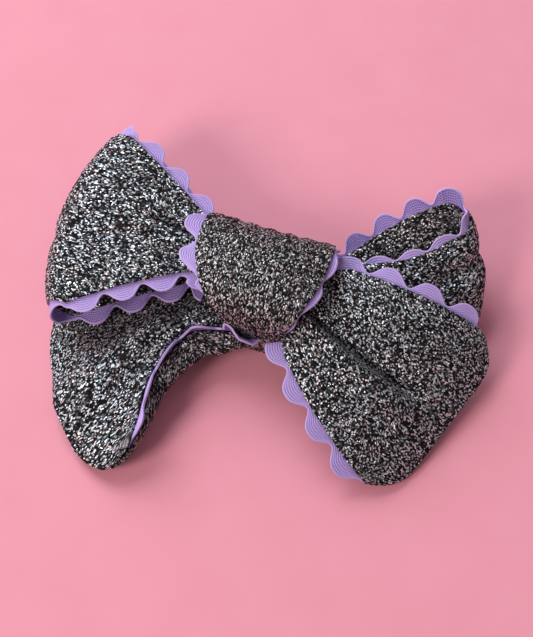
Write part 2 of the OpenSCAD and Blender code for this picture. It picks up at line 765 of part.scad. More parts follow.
left_loop_outer();
left_loop_lining();
left_loop_upper_braid();
left_loop_lower_braid();
right_loop_outer();
right_loop_lining();
right_loop_upper_braid();
right_loop_lower_braid();
left_tail_front();
left_tail_back();
left_tail_upper_braid();
left_tail_lower_braid();
right_tail_front();
right_tail_back();
right_tail_upper_braid();
right_tail_lower_braid();
knot_wrap_face();
knot_wrap_lining();
knot_left_braid();
knot_right_braid();
gathering_thread();
knot_stitches();
clip_prong();
clip_base();
clip_pin();
clip_spring();
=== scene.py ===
# %% [markdown]
# A tied hair bow in glitter knit, edged with wavy braid and worn on a sprung clip.
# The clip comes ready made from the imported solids. Everything soft is sewn here, strip by strip,
# on the same courses as the solids, but with stitches, ribs, gathers and folds.

# %% Load the frame
import math
from types import SimpleNamespace

import bmesh
import bpy
import numpy as np
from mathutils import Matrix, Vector


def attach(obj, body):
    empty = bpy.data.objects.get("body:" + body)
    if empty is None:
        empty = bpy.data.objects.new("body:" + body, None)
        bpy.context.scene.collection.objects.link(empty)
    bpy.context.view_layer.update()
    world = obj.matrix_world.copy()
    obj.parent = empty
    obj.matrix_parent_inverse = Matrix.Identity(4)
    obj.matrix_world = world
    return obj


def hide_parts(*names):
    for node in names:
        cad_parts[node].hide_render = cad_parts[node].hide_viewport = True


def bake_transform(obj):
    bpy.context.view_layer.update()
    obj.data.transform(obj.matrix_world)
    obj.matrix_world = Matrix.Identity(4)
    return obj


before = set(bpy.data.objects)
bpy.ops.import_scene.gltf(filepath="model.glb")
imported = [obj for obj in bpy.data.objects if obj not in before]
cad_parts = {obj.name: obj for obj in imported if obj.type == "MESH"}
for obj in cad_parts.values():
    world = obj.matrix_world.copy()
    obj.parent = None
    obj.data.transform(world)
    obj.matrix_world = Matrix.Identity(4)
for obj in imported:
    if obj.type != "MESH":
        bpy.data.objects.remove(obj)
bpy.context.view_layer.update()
MM = 0.001
print("solids loaded:", len(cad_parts))

# %% [markdown]
# The camera looks down on the bow from the front, a little from the right, as a person does who
# has laid the bow on a table. A long lens keeps the loops from swelling towards the viewer.

# %% Camera
view_azimuth, view_elevation = math.radians(18), math.radians(62)
view_target = Vector((1, -6, 10)) * MM
view_distance = 430 * MM
picture_width_px, focal_px, sensor_mm = 533, 1500, 36
back = Vector((
    math.sin(view_azimuth) * math.cos(view_elevation),
    -math.cos(view_azimuth) * math.cos(view_elevation),
    math.sin(view_elevation),
))
camera_data = bpy.data.cameras.new("camera")
camera_data.sensor_fit = "HORIZONTAL"
camera_data.sensor_width = sensor_mm
camera_data.lens = camera_data.sensor_width * focal_px / picture_width_px
camera = bpy.data.objects.new("camera", camera_data)
bpy.context.scene.collection.objects.link(camera)
camera.location = view_target + back * view_distance
camera.rotation_mode = "QUATERNION"
camera.rotation_quaternion = (-back).to_track_quat("-Z", "Y")
bpy.context.scene.camera = camera
bpy.context.scene.view_settings.view_transform = "Standard"
print("camera at", [round(x, 3) for x in camera.location])

# %% [markdown]
# Materials are built from nodes. Two small helpers keep that readable: one plugs a number or another
# node's output into a socket, the other adds a node and fills its sockets by name.

# %% Node helpers
def plug(tree, socket, value):
    if isinstance(value, bpy.types.NodeSocket):
        tree.links.new(value, socket)
    else:
        socket.default_value = value


def add_node(tree, kind, settings=None, **sockets):
    node = tree.nodes.new("ShaderNode" + kind)
    for key, value in (settings or {}).items():
        setattr(node, key, value)
    for key, value in sockets.items():
        plug(tree, node.inputs[key.replace("_", " ")], value)
    return node


def maths(tree, operation, *values):
    node = add_node(tree, "Math", {"operation": operation})
    for socket, value in zip(node.inputs, values):
        plug(tree, socket, value)
    return node.outputs[0]


def new_group(name, inputs, outputs):
    group = bpy.data.node_groups.new(name, "ShaderNodeTree")
    for way, sockets in (("INPUT", inputs), ("OUTPUT", outputs)):
        for socket, kind in sockets:
            group.interface.new_socket(socket, in_out=way, socket_type="NodeSocket" + kind)
    return group, group.nodes.new("NodeGroupInput").outputs, group.nodes.new("NodeGroupOutput").inputs


def use_group(tree, group, **sockets):
    node = tree.nodes.new("ShaderNodeGroup")
    node.node_tree = group
    for key, value in sockets.items():
        plug(tree, node.inputs[key.replace("_", " ")], value)
    return node.outputs


def new_material(name):
    material = bpy.data.materials.new(name)
    material.use_nodes = True
    tree = material.node_tree
    return material, tree, tree.nodes["Principled BSDF"]


def colour_steps(tree, value, steps):
    ramp = add_node(tree, "ValToRGB", Fac=value)
    band = ramp.color_ramp
    while len(band.elements) < len(steps):
        band.elements.new(0.5)
    for element, (place, colour) in zip(band.elements, steps):
        element.position = place
        element.color = (*colour, 1)
    return ramp.outputs["Color"]


print("node helpers ready")

# %% [markdown]
# The bow lies on a plain, pale pink floor. Paper is not quite even, so a faint grain varies its colour.

# %% Floor
floor_reach = 3.0
floor_pinks = [(0.3, (0.94, 0.37, 0.475)), (0.7, (0.96, 0.39, 0.495))]
floor_mesh = bmesh.new()
bmesh.ops.create_grid(floor_mesh, x_segments=1, y_segments=1, size=floor_reach)
floor_data = bpy.data.meshes.new("floor")
floor_mesh.to_mesh(floor_data)
floor_mesh.free()
floor = bpy.data.objects.new("floor", floor_data)
bpy.context.scene.collection.objects.link(floor)
floor_paint, floor_tree, floor_shader = new_material("pale_floor")
paper_grain = add_node(floor_tree, "TexNoise", Scale=60.0, Detail=3.0,
                       Vector=add_node(floor_tree, "TexCoord").outputs["Object"])
floor_colour = colour_steps(floor_tree, paper_grain.outputs["Fac"], floor_pinks)
plug(floor_tree, floor_shader.inputs["Base Color"], floor_colour)
floor_shader.inputs["Roughness"].default_value = 0.9
floor.data.materials.append(floor_paint)
print("floor laid")

# %% [markdown]
# Broad soft light comes from the upper left, as from a window, a smaller lamp stands in front on the
# left, and an even, faintly pink world fills the shade. Large lamps give the soft shadows of a room.

# %% Lamps and world
warm_white, cool_white = (1.0, 0.90, 0.84), (0.89, 0.96, 1.0)
fill_colour, fill_strength = (1.0, 0.83, 0.86, 1), 0.26


def soft_lamp(name, place, size, watts, colour):
    data = bpy.data.lights.new(name, "AREA")
    data.shape = "SQUARE"
    data.size = size
    data.energy = watts
    data.color = colour
    lamp = bpy.data.objects.new(name, data)
    bpy.context.scene.collection.objects.link(lamp)
    lamp.location = place
    lamp.rotation_mode = "QUATERNION"
    lamp.rotation_quaternion = (-Vector(place)).to_track_quat("-Z", "Y")


soft_lamp("lamp", (-0.56, -0.78, 0.70), 0.4, 6.2, warm_white)
soft_lamp("window", (-0.74, 0.58, 0.80), 0.9, 12.8, cool_white)
world = bpy.data.worlds.new("pale_room")
world.use_nodes = True
fill = world.node_tree.nodes["Background"]
fill.inputs["Color"].default_value = fill_colour
fill.inputs["Strength"].default_value = fill_strength
bpy.context.scene.world = world

# %% [markdown]
# The knit is a fine jersey of black yarn with a silver metal strip twisted in. The strip turns as it
# runs, so one stitch flashes and the next stays black. A picture of that cloth would blur when seen
# close, so the pattern is worked out: rows of V-shaped stitches give the relief, and flecks of yarn lie
# over them, each with its own chance to shine. The map they are drawn on counts millimetres of cloth.

# %% Stitch pattern
stitch_wale, stitch_course = 1.1, 0.8
arm_slant, arm_reach, arm_round = 0.8, 0.56, 0.6
wander_scale, wander_most = 0.55, 0.4
bead_reach = 0.75


def dome(tree, value, reach):
    square = maths(tree, "POWER", maths(tree, "ABSOLUTE", maths(tree, "DIVIDE", value, reach)), 2.0)
    return maths(tree, "MAXIMUM", maths(tree, "SUBTRACT", 1.0, square), 0.0)


def stitch_group():
    group, given, result = new_group(
        "knit_stitches",
        [("Vector", "Vector"), ("Fleck Length", "Float"), ("Fleck Width", "Float")],
        [("Rise", "Float"), ("Bead", "Float"), ("Chance", "Float"), ("Tint", "Float"), ("Lean", "Vector")])
    wander = add_node(group, "TexNoise", {"noise_dimensions": "2D"}, Vector=given["Vector"],
                      Scale=wander_scale, Detail=1.0)
    push = add_node(group, "VectorMath", {"operation": "MULTIPLY_ADD"})
    plug(group, push.inputs[0], wander.outputs["Color"])
    push.inputs[1].default_value = (wander_most, wander_most, 0)
    plug(group, push.inputs[2], given["Vector"])
    x, y, _ = add_node(group, "SeparateXYZ", Vector=push.outputs[0]).outputs
    across = maths(group, "DIVIDE", y, stitch_wale)
    arm = maths(group, "MULTIPLY", maths(group, "ABSOLUTE", maths(
        group, "SUBTRACT", maths(group, "FRACT", across), 0.5)), 2.0)
    slanted = maths(group, "MULTIPLY_ADD", arm, arm_slant, maths(group, "DIVIDE", x, stitch_course))
    in_row = maths(group, "SUBTRACT", maths(group, "FRACT", slanted), 0.5)
    in_arm = maths(group, "SUBTRACT", arm, 0.5)
    rise = maths(group, "MULTIPLY", dome(group, in_arm, arm_reach), dome(group, in_row, arm_reach))
    plug(group, result["Rise"], maths(group, "POWER", rise, arm_round))
    spot = add_node(group, "CombineXYZ", X=maths(group, "DIVIDE", x, given["Fleck Length"]),
                    Y=maths(group, "DIVIDE", y, given["Fleck Width"]))
    fleck = add_node(group, "TexVoronoi", {"voronoi_dimensions": "2D"}, Vector=spot.outputs[0], Scale=1.0)
    plug(group, result["Bead"], dome(group, fleck.outputs["Distance"], bead_reach))
    dice = add_node(group, "SeparateColor", Color=fleck.outputs["Color"]).outputs
    plug(group, result["Chance"], dice["Red"])
    plug(group, result["Tint"], dice["Blue"])
    lean = add_node(group, "CombineXYZ", X=maths(group, "SUBTRACT", dice["Green"], 0.5),
                    Y=maths(group, "SUBTRACT", dice["Blue"], 0.5))
    plug(group, result["Lean"], lean.outputs[0])
    return group


knit_stitches = stitch_group()
print("stitch pattern:", len(knit_stitches.nodes), "nodes")

# %% [markdown]
# Black stitches are dull. The silver ones are part metal, and each leans its own way, so some catch the
# window and flash while their neighbours show the floor. The silver is tinted from pink to pale blue, a
# painted reflection of the pink floor and the cool window. Where the knot stretches the knit, the flecks
# are drawn out along the wrap. There and on the inner layers the knit is painted darker and warmer, as
# painted shade and painted warm light. In the hollows between stitches and round each fleck the colour
# is painted darker towards black, a painted shade of the hollows.

# %% Knit materials
lean_most = 0.7
silver_from, silver_full, silver_metal = 0.7, 0.85, 0.85
black_rough, silver_rough = 0.8, 0.44
row_share, bead_share, relief_gain = 0.3, 0.7, 1.7
relief_depth, relief_strength = 0.00012, 0.9
# Painted shade of the hollows between stitches and round the flecks.
hollow_shade_black = (0.004, 0.004, 0.005, 1)
# Painted reflection: the outer silver runs from the pink of the floor to the blue of the window.
silver_painted_reflection = [(0.1, (1.0, 0.86, 0.83)), (0.4, (0.96, 0.98, 1.0)), (0.8, (0.80, 0.92, 1.0))]
# Painted warm light: the warmer set of tints for the lining, the undersides and the knot.
warm_silver_painted_light = [(0.2, (1.0, 0.85, 0.82)), (0.6, (1.0, 0.97, 0.96)), (0.9, (0.91, 0.97, 1.0))]


def knit_material(name, painted_light_level, seed, fleck, tints):
    material, tree, shader = new_material(name)
    cloth = add_node(tree, "UVMap", {"uv_map": "cloth"})
    moved = add_node(tree, "Mapping", Vector=cloth.outputs["UV"], Location=(seed, seed * 1.7, 0))
    stitch = use_group(tree, knit_stitches, Vector=moved.outputs["Vector"],
                       Fleck_Length=fleck[0], Fleck_Width=fleck[1])
    # Painted shade: on the lining, the undersides and the knot the yarn is scaled darker than on the outer
    # cloth.
    yarn = colour_steps(tree, stitch["Chance"], [
        (0.00, (0.003, 0.003, 0.004)), (0.44, (0.010, 0.010, 0.012)), (0.62, (0.06, 0.06, 0.065)),
        (0.75, (0.34 * painted_light_level, 0.34 * painted_light_level, 0.35 * painted_light_level)),
        (0.85, (0.97 * painted_light_level, 0.98 * painted_light_level, 1.0 * painted_light_level))])
    # Painted reflection and painted warm light: each fleck takes its tint from this set.
    painted_light_cast = colour_steps(tree, stitch["Tint"], tints)
    tinted = add_node(tree, "Mix", {"data_type": "RGBA", "blend_type": "MULTIPLY"})
    tinted.inputs["Factor"].default_value = 1.0
    plug(tree, tinted.inputs[6], yarn)
    plug(tree, tinted.inputs[7], painted_light_cast)
    bead = maths(tree, "MULTIPLY", stitch["Bead"], bead_share)
    relief = maths(tree, "MULTIPLY_ADD", stitch["Rise"], row_share, bead)
    # Painted shade in the hollows: where the relief is low, the colour is mixed towards deep black.
    shaded = add_node(tree, "Mix", {"data_type": "RGBA"}, Factor=maths(
        tree, "MINIMUM", maths(tree, "MULTIPLY", relief, relief_gain), 1.0))
    shaded.inputs[6].default_value = hollow_shade_black
    plug(tree, shaded.inputs[7], tinted.outputs[2])
    plug(tree, shader.inputs["Base Color"], shaded.outputs[2])
    metal = add_node(tree, "MapRange", Value=stitch["Chance"],
                     From_Min=silver_from, From_Max=silver_full, To_Max=silver_metal)
    plug(tree, shader.inputs["Metallic"], metal.outputs["Result"])
    rough = add_node(tree, "MapRange", Value=stitch["Chance"],
                     From_Min=silver_from, From_Max=silver_full, To_Min=black_rough, To_Max=silver_rough)
    plug(tree, shader.inputs["Roughness"], rough.outputs["Result"])
    shader.inputs["Specular IOR Level"].default_value = 0.15
    bump = add_node(tree, "Bump", Height=relief, Distance=relief_depth, Strength=relief_strength)
    lean = add_node(tree, "VectorMath", {"operation": "MULTIPLY_ADD"})
    plug(tree, lean.inputs[0], stitch["Lean"])
    lean.inputs[1].default_value = (lean_most, lean_most, lean_most)
    plug(tree, lean.inputs[2], bump.outputs["Normal"])
    facing = add_node(tree, "VectorMath", {"operation": "NORMALIZE"})
    plug(tree, facing.inputs[0], lean.outputs[0])
    plug(tree, shader.inputs["Normal"], facing.outputs[0])
    return material


knit_face = knit_material("glitter_knit", 1.0, 3.0, (0.39, 0.37), silver_painted_reflection)
# The lining and the knot are darker, warmer copies of the outer knit: painted shade and painted warm light.
knit_back_painted_shade = knit_material("glitter_knit_lining_painted_shade", 0.7, 41.0, (0.39, 0.37), warm_silver_painted_light)
knit_wrap_painted_warm_shade = knit_material("glitter_knit_stretched_painted_warm_shade", 0.71, 17.0, (0.43, 0.31), warm_silver_painted_light)
print("knit materials:", knit_face.name, knit_back_painted_shade.name, knit_wrap_painted_warm_shade.name)

# %% [markdown]
# The wavy braid is woven flat and pulled into waves by one tight thread. Its ribs follow the wavy
# edge and small ticks of the weft cross them. The ribs are modelled; the ticks and the grooves are in
# the material, which reads the distance from the wavy edge off the braid's own map. The grooves are
# painted darker, a painted shade in the grooves, broken by the ticks of the weft.

# %% Braid pattern and material
rib_pitch, tick_pitch, selvage = 0.72, 0.5, 0.55
whole_turn = 2 * math.pi
# Painted shade: the darkest purple fills the grooves between the ribs.
lavenders_painted_groove_shade = [(0.0, (0.57, 0.43, 0.87)), (0.35, (0.46, 0.33, 0.77)), (0.9, (0.15, 0.09, 0.35))]
pale_lavender = (0.64, 0.49, 0.90, 1)


def wave_between(tree, value, pitch):
    turned = maths(tree, "COSINE", maths(tree, "MULTIPLY", maths(tree, "DIVIDE", value, pitch), whole_turn))
    return maths(tree, "MULTIPLY_ADD", turned, 0.5, 0.5)


def rib_group():
    group, given, result = new_group(
        "braid_ribs",
        [("Vector", "Vector"), ("Pitch", "Float"), ("Tick", "Float"), ("Selvage", "Float")],
        [("Groove", "Float"), ("Height", "Float"), ("Edge", "Float")])
    x, y, _ = add_node(group, "SeparateXYZ", Vector=given["Vector"]).outputs
    furrow = maths(group, "POWER", wave_between(group, y, given["Pitch"]), 2.0)
    weft = wave_between(group, x, given["Tick"])
    inside = maths(group, "MINIMUM", maths(group, "DIVIDE", y, given["Selvage"]), 1.0)
    groove = maths(group, "MULTIPLY", maths(group, "MULTIPLY", furrow, inside), maths(
        group, "MULTIPLY_ADD", weft, -0.5, 1.0))
    plug(group, result["Groove"], groove)
    plug(group, result["Height"], maths(group, "SUBTRACT", maths(group, "MULTIPLY", weft, 0.35), groove))
    plug(group, result["Edge"], maths(group, "SUBTRACT", 1.0, inside))
    return group


braid_ribs = rib_group()


def braid_material():
    material, tree, shader = new_material("lavender_braid")
    cloth = add_node(tree, "UVMap", {"uv_map": "cloth"})
    ribs = use_group(tree, braid_ribs, Vector=cloth.outputs["UV"],
                     Pitch=rib_pitch, Tick=tick_pitch, Selvage=selvage)
    # Painted shade in the grooves: the deeper the groove, the darker the purple.
    colour = colour_steps(tree, ribs["Groove"], lavenders_painted_groove_shade)
    pale = add_node(tree, "Mix", {"data_type": "RGBA"}, Factor=maths(tree, "MULTIPLY", ribs["Edge"], 0.6))
    plug(tree, pale.inputs[6], colour)
    pale.inputs[7].default_value = pale_lavender
    plug(tree, shader.inputs["Base Color"], pale.outputs[2])
    shader.inputs["Roughness"].default_value = 0.72
    shader.inputs["Specular IOR Level"].default_value = 0.3
    bump = add_node(tree, "Bump", Height=ribs["Height"], Distance=0.00012, Strength=0.8)
    plug(tree, shader.inputs["Normal"], bump.outputs["Normal"])
    return material


lavender = braid_material()
print("braid material:", lavender.name)

# %% [markdown]
# Black sewing thread lashes the waist and closes the wrap. The clip is plated sheet steel with the
# fine lines that polishing leaves along it.

# %% Thread and steel
def thread_material():
    material, tree, shader = new_material("black_thread")
    grain = add_node(tree, "TexNoise", Scale=2500.0, Detail=2.0,
                     Vector=add_node(tree, "TexCoord").outputs["Object"])
    plug(tree, shader.inputs["Base Color"], colour_steps(
        tree, grain.outputs["Fac"], [(0.3, (0.012, 0.012, 0.014)), (0.7, (0.05, 0.05, 0.055))]))
    shader.inputs["Roughness"].default_value = 0.6
    bump = add_node(tree, "Bump", Height=grain.outputs["Fac"], Distance=0.0001, Strength=0.5)
    plug(tree, shader.inputs["Normal"], bump.outputs["Normal"])
    return material


def steel_material():
    material, tree, shader = new_material("plated_steel")
    place = add_node(tree, "TexCoord").outputs["Object"]
    brushed = add_node(tree, "Mapping", Vector=place, Scale=(40, 1800, 1800))
    lines = add_node(tree, "TexNoise", Scale=1.0, Detail=4.0, Vector=brushed.outputs["Vector"])
    plug(tree, shader.inputs["Base Color"], colour_steps(
        tree, lines.outputs["Fac"], [(0.3, (0.56, 0.57, 0.59)), (0.7, (0.74, 0.75, 0.77))]))
    shader.inputs["Metallic"].default_value = 1.0
    rough = add_node(tree, "MapRange", Value=lines.outputs["Fac"])
    rough.inputs["To Min"].default_value, rough.inputs["To Max"].default_value = 0.22, 0.42
    plug(tree, shader.inputs["Roughness"], rough.outputs["Result"])
    bump = add_node(tree, "Bump", Height=lines.outputs["Fac"], Distance=0.00003, Strength=0.3)
    plug(tree, shader.inputs["Normal"], bump.outputs["Normal"])
    return material


black_thread = thread_material()
plated_steel = steel_material()
print("thread and steel ready")

# %% [markdown]
# Every strip of the bow is one long tube of knit, laid on a course: it leaves the waist gathered,
# bends, fans out and ends in a fold or a square end. A loop runs out, turns round its fold and runs
# back. The course is a formula, so the layers, seams and braids of a strip all follow the same cloth.
# All lengths here are in millimetres. A fold is given by its place across the strip, its drift, its
# breadth, where it starts and ends, and its height. A low is a stretch where the lower edge hangs down:
# how far, where it starts and over what length, where it stops and over what length.

# %% Values of the four strips
knit_t = 0.8
braid_t = 0.7
seam_half = braid_t / 2 + 0.2
pleat_h, pleats = 0.8, 3
waist_gap = 0.4
level_low, level_mid, level_top = 9.55, 14.25, 18.95
level_step = level_mid - level_low
knot_edge = 22.25
PLAIN = dict(
    hand=1, root_y=0, turn=0, bend=14, bend_at=0, reach=60, fan_from=6, gather=17, width=56, spread=1,
    z_root=0, z_end=0, z_hump=0, roll_end=0, roll_hump=0, cup=0, belly=0, skew=0, shift=0,
    gap=0, fold=0, opens=90, corner=0, curl=0, crease=0, tuck=0, flare=0, bow=0, jut=0, round=0,
    lows=(), folds=())


def strip_values(**own):
    return SimpleNamespace(**{**PLAIN, **own})


left_loop = strip_values(
    hand=-1, root_y=3.2, turn=2, bend_at=2, reach=58.5, fan_from=knot_edge, width=63, spread=0,
    z_root=(level_top + level_mid) / 2, z_end=15, z_hump=0.8, roll_end=6, roll_hump=-1.8, belly=7.5,
    gap=level_step, fold=6, opens=100, shift=1.5, skew=-1.6,
    folds=(
        (0.30, -0.08, 0.05, 20, 42, -2.2), (0.40, -0.10, 0.07, 20, 44, 1.1),
        (-0.06, -0.26, 0.10, 26, 66, -1.0), (-0.30, -0.04, 0.06, 20, 38, -0.9),
        (-0.62, 0.0, 0.07, 18, 36, -0.9)))
right_loop = strip_values(
    root_y=2.2, turn=31, bend_at=6, reach=58, fan_from=12, width=32,
    z_root=(level_mid + level_low) / 2, z_end=10.5, z_hump=-2, roll_end=40, roll_hump=-10, cup=2, belly=4,
    gap=level_step, fold=5.75, opens=185, skew=-4, bow=3.5,
    folds=((0.40, 0.06, 0.14, 40, 68, -1.3), (0.05, 0.06, 0.18, 40, 66, 0.6)))
left_tail = strip_values(
    hand=-1, root_y=-1.5, turn=-51, bend=16, reach=62.5, z_root=level_low, z_end=1.9, z_hump=3,
    roll_end=-2, roll_hump=-8, belly=4.2, corner=6, curl=70, shift=2, tuck=0.76, skew=6,
    jut=1.9, round=4, lows=((5, 7, 6, 17, 9), (2.4, 40, 10, 90, 1)),
    folds=((0.03, 0.0, 0.30, 24, 90, 2.6), (-0.42, 0.0, 0.22, 30, 90, -1.2)))
right_tail = strip_values(
    root_y=0.2, turn=-20.5, bend=12, reach=62, fan_from=9.5, z_root=level_top, z_end=3.1, z_hump=6,
    roll_end=8, roll_hump=4, corner=8, crease=1.6, shift=-2.6, flare=8, lows=((2.4, 11.5, 4, 13, 30),),
    folds=((-0.13, 0.16, 0.07, 8, 54, -2.4), (-0.32, 0.16, 0.12, 8, 56, 1.9)))
print("strips reach", left_loop.reach, right_loop.reach, left_tail.reach, right_tail.reach, "mm")

# %% [markdown]
# Cloth like this could be draped by a simulation, but its layers, seams and braids have to stay where
# the solids have them. So a strip's middle line is a straight start, an arc and a straight run, and
# the cloth fans out on both sides of it, from the gathered waist to its full width.

# %% Course of a strip
def clamp01(t):
    return np.clip(t, 0, 1)


def ease(t):
    c = clamp01(t)
    return c * c * (3 - 2 * c)


def unit(v):
    return v / np.linalg.norm(v, axis=-1, keepdims=True)


def run_along(points):
    return np.concatenate([[0], np.cumsum(np.linalg.norm(np.diff(points, axis=0), axis=1))])


def swing(start, end, hump, e):
    return start + (end - start) * e + 4 * hump * e * (1 - e)


def heading(strip, d):
    return np.radians(strip.turn) * clamp01((d - strip.bend_at) / strip.bend)


def course(strip, d):
    radius = strip.bend / np.radians(strip.turn)
    a = heading(strip, d)
    past = np.maximum(0, d - strip.bend_at - strip.bend)
    whole = np.radians(strip.turn)
    ahead = np.minimum(d, strip.bend_at) + radius * np.sin(a) + past * np.cos(whole)
    return ahead, radius * (1 - np.cos(a)) + past * np.sin(whole)


def fan(strip, d):
    return clamp01((d - strip.fan_from) / (strip.reach - strip.fan_from))


def half_width(strip, d):
    f = fan(strip, d)
    g = f + (np.sin(np.pi / 2 * f) - f) * strip.spread
    return (strip.gather + (strip.width - strip.gather) * g) / 2


print("left loop fans out from", 2 * half_width(left_loop, 0), "to", left_loop.width, "mm")

# %% [markdown]
# Across its width a strip is nearly flat, but it can roll about its middle line, cup, and curl one edge
# up over itself, as the left tail does with its lower seam. An edge can also be drawn in, flare or hang
# lower, and the end can slant or belly out.

# %% Cross-section and point of a strip
curl_from, curl_end, curl_hump = 0.7, 1 / 3, 0.8
tuck_early, tuck_ease, tuck_from, tuck_rise = 0.7, 1.5, 0.13, 0.18
flare_from, flare_rise = 0.12, 0.16
jut_at, jut_reach = -0.25, 0.45
open_ease = 1.5


def section(w, s, curl):
    t = np.maximum(0, (-s - curl_from) / (1 - curl_from))
    bend = np.radians(np.maximum(1, curl))
    r = w * (1 - curl_from) / bend
    curled = (t > 0) & (curl >= 1)
    side = np.where(curled, -curl_from * w - r * np.sin(bend * t), s * w)
    return side, np.where(curled, r * (1 - np.cos(bend * t)), 0)


def half_cloth(strip, d, s):
    e = clamp01(d / strip.reach)
    w = half_width(strip, d)
    tuck = strip.tuck * swing(0, 0, 1, e ** tuck_early) ** tuck_ease * ease((e - tuck_from) / tuck_rise)
    flare = strip.flare * ease((e - flare_from) / flare_rise) * (1 - e) ** 2
    low = 0
    for drop, start, rise, stop, fall in strip.lows:
        low = low + drop * ease((d - start) / rise) * (1 - ease((d - stop) / fall))
    return np.where(s < 0, w * (1 - tuck) + low, w + flare)


def strip_point(strip, d, s, along=0, lift=0):
    e = clamp01(d / strip.reach)
    h = heading(strip, d)
    ahead, aside = course(strip, d)
    half = half_cloth(strip, d, s)
    q = np.radians(swing(0, strip.roll_end, strip.roll_hump, e))
    o = np.radians(90 + (strip.opens - 90) * np.sin(np.pi / 2 * e) ** open_ease)
    v, raised = section(half, s, strip.curl * swing(0, curl_end, curl_hump, e))
    jut = strip.jut * np.exp(-((s - jut_at) / jut_reach) ** 4)
    forward = along + (strip.belly * (1 - s * s) - strip.skew * s + jut) * e ** 3
    side = v * np.cos(q) - raised * np.sin(q) + lift * np.cos(o) + swing(0, 0, strip.shift, e)
    up = v * np.sin(q) + raised * np.cos(q) + strip.cup * e * s * s + lift * np.sin(o)
    return np.stack([
        strip.hand * (waist_gap / 2 + ahead + forward * np.cos(h) - side * np.sin(h)),
        strip.root_y + aside + forward * np.sin(h) + side * np.cos(h),
        swing(strip.z_root, strip.z_end, strip.z_hump, e) + up,
    ], -1)


print("left tail, middle of its end:", strip_point(left_tail, left_tail.reach, np.array(0.0)).round(1))

# %% [markdown]
# A tail just ends, with rounded corners. A loop runs out, turns round its fold in a half circle and
# comes back, so one strip makes both of its sides.

# %% Loops and tails
bow_unit, bow_ease = 13.1, 1.25
corner_power = 6
nudge_along, nudge_across = 0.003, 0.01


def strip_length(strip):
    return 2 * (strip.reach - strip.fold) + np.pi * strip.fold if strip.fold else strip.reach


def depth(strip, u):
    if not strip.fold:
        return u * strip.reach
    run, arc = strip.reach - strip.fold, np.pi * strip.fold
    way = u * (2 * run + arc)
    return np.where(way <= run, way, np.where(way <= run + arc, run, 2 * run + arc - way))


def bow_out(strip, d):
    x = clamp01(d / (strip.reach - strip.fold))
    return strip.bow * bow_unit * x ** 3 * (1 - x) ** bow_ease


def strip_middle(strip, u, s):
    if not strip.fold:
        corner = strip.corner + np.where(s < 0, strip.round, 0)
        return strip_point(strip, u * strip.reach - corner * (u * np.abs(s)) ** corner_power, s)
    run, arc = strip.reach - strip.fold, np.pi * strip.fold
    way = u * (2 * run + arc)
    d = depth(strip, u)
    loft = strip.gap / 2 + (strip.fold - strip.gap / 2) * ease(d / run)
    k = np.pi * clamp01((way - run) / arc)
    turning = (way > run) & (way <= run + arc)
    straight = np.where(way <= run, loft + bow_out(strip, d), -loft)
    lift = np.where(turning, strip.fold * np.cos(k), straight)
    return strip_point(strip, d, s, np.where(turning, strip.fold * np.sin(k), 0), lift)


def way_ahead(strip, u, s):
    return strip_middle(strip, u + nudge_along, s) - strip_middle(strip, u - nudge_along, s)


def strip_normal(strip, u, s):
    across = strip_middle(strip, u, s + nudge_across) - strip_middle(strip, u, s - nudge_across)
    return strip.hand * unit(np.cross(way_ahead(strip, u, s), across))


print("left loop is", round(strip_length(left_loop)), "mm of strip, out and back")

# %% [markdown]
# Where the thread pulls the cloth together it stands in gathers, and these run out into the fan as
# soft folds. They belong to the whole strip, so both layers and the braid between them share them.

# %% Gathers and folds
fold_run_out = 8
crease_turn, crease_at = 300, 30


def gathers(strip, u, s):
    f = 1 - fan(strip, depth(strip, u))
    under = np.where((u > 0.5) & bool(strip.fold), -1, 1)
    pleat = under * pleat_h * f * f * np.cos(np.pi * pleats * s)
    valley = 4 * strip.crease * (1 - f) * f * np.cos(np.radians(crease_turn * s - crease_at))
    rise = (1 - s * s) ** 2 * (pleat - valley)
    way = u * strip_length(strip)
    for middle, drift, breadth, start, end, height in strip.folds:
        fading = ease((way - end + fold_run_out) / fold_run_out)
        window = ease((way - start) / fold_run_out) * (1 - fading)
        line = middle + drift * (way - start) / (end - start)
        rise = rise + height * window * np.exp(-((s - line) / breadth) ** 2) * (1 - s ** 6)
    return rise


def layer_point(strip, u, s, off):
    return strip_middle(strip, u, s) + strip_normal(strip, u, s) * (off + gathers(strip, u, s))[..., None]


half_way, no_way = np.array([0.5]), np.array([0.0])
print("left loop, middle of its fold:", layer_point(left_loop, half_way, no_way, no_way).round(1))

# %% [markdown]
# A knit panel starts as a flat grid. Its points are moved on to the strip, nudged by the rise of the
# single stitches, and then the cloth gets its thickness. The grid also carries a map in millimetres
# along and across the strip, so a stitch has the same size everywhere.

# %% Sewing helpers
dice_side = 64
soft_edge_angle = math.radians(62)
knit_edge, braid_edge = 0.3, 0.2


def stitch_rise(stitches, height, seed):
    dice = np.random.default_rng(seed).random((dice_side, dice_side))
    i, j = np.floor(stitches.T).astype(int)
    fx, fy = ease(stitches[:, 0] - i), ease(stitches[:, 1] - j)

    def at(a, b):
        return dice[a % dice_side, b % dice_side]

    low = at(i, j) * (1 - fx) + at(i + 1, j) * fx
    high = at(i, j + 1) * (1 - fx) + at(i + 1, j + 1) * fx
    return height * (low * (1 - fy) + high * fy - 0.5)


def flat_grid(along, across):
    cloth = bmesh.new()
    bmesh.ops.create_grid(cloth, x_segments=along, y_segments=across, size=1.0)
    cloth.verts.ensure_lookup_table()
    places = np.array([v.co[:2] for v in cloth.verts])
    return cloth, (places[:, 0] + 1) / 2, places[:, 1]


